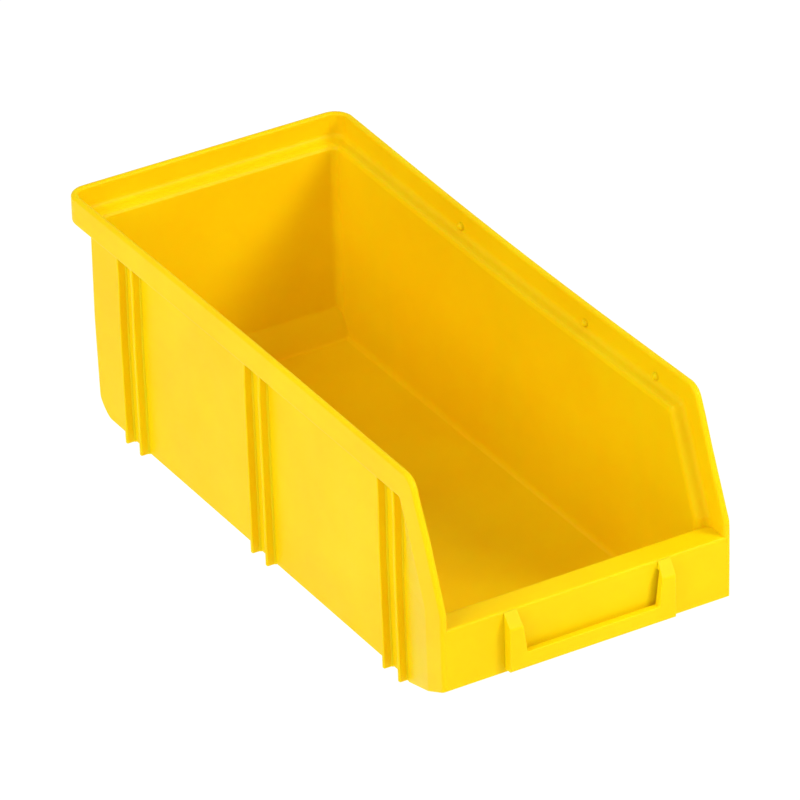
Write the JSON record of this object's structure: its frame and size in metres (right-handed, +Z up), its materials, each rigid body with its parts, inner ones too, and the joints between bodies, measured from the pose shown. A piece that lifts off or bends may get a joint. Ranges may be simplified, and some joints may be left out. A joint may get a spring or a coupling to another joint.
{
  "type": "stackable storage bin",
  "caption": "Open-fronted stackable storage bin in moulded plastic, with a stepped stacking rim, ribbed sides, a low front panel and a slot-in label holder.",
  "frame": {"origin": "middle of the bin's rectangular footprint, on the plane it stands on", "axes": "+X to the bin's right as seen from its open front, +Y from the open front to the back wall, +Z up"},
  "size_m": [0.15, 0.343, 0.1165],
  "materials": {
    "body_plastic": "satin moulded yellow polypropylene"
  },
  "bodies": {
    "root": {"floor": "body_plastic", "rear_heel": "body_plastic", "front_toe": "body_plastic", "back_wall": "body_plastic", "front_inner_wall": "body_plastic", "front_face": "body_plastic", "front_lip": "body_plastic", "left_wall": "body_plastic", "right_wall": "body_plastic", "rim_left": "body_plastic", "rim_right": "body_plastic", "rim_back": "body_plastic", "ledge_left": "body_plastic", "ledge_right": "body_plastic", "ledge_back": "body_plastic", "label_holder": "body_plastic", "rib_left_1": "body_plastic", "rib_left_2": "body_plastic", "rib_left_3": "body_plastic", "rib_left_4": "body_plastic", "rib_left_5": "body_plastic", "rib_left_6": "body_plastic", "rib_right_1": "body_plastic", "rib_right_2": "body_plastic", "rib_right_3": "body_plastic", "rib_right_4": "body_plastic", "rib_right_5": "body_plastic", "rib_right_6": "body_plastic", "nub_left_1": "body_plastic", "nub_left_2": "body_plastic", "nub_left_3": "body_plastic", "nub_right_1": "body_plastic", "nub_right_2": "body_plastic", "nub_right_3": "body_plastic"}
  },
  "joints": []
}
